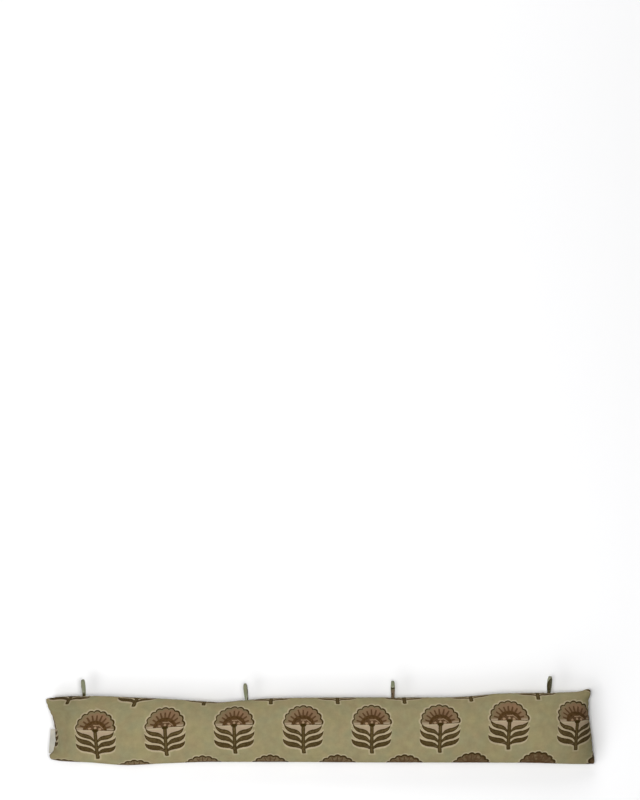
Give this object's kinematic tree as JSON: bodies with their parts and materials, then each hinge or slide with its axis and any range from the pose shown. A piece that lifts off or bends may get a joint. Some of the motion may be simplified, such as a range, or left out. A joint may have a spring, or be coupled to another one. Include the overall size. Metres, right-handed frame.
{
  "type": "draught excluder",
  "caption": "Long filled cloth sausage with drawn-in ends, a seam along one side with small hanging loops caught in it, lying on its back.",
  "frame": {"origin": "on the flat underside, at the middle of the length and near the middle of the width", "axes": "+X along the length, +Y from the folded edge to the long seam with the loops, +Z away from the surface it lies on"},
  "size_m": [0.8999, 0.1456, 0.0569],
  "materials": {
    "printed_cotton": "matt plain-weave cotton, khaki ground with a block-printed flower",
    "folded_tape": "the same matt cotton, folded into a narrow tape",
    "cream_tape": "bare cream woven tape"
  },
  "bodies": {
    "root": {"cover_filled": "printed_cotton", "loop_1": "folded_tape", "loop_2": "folded_tape", "loop_3": "folded_tape", "loop_4": "folded_tape", "end_label": "cream_tape"}
  },
  "joints": []
}
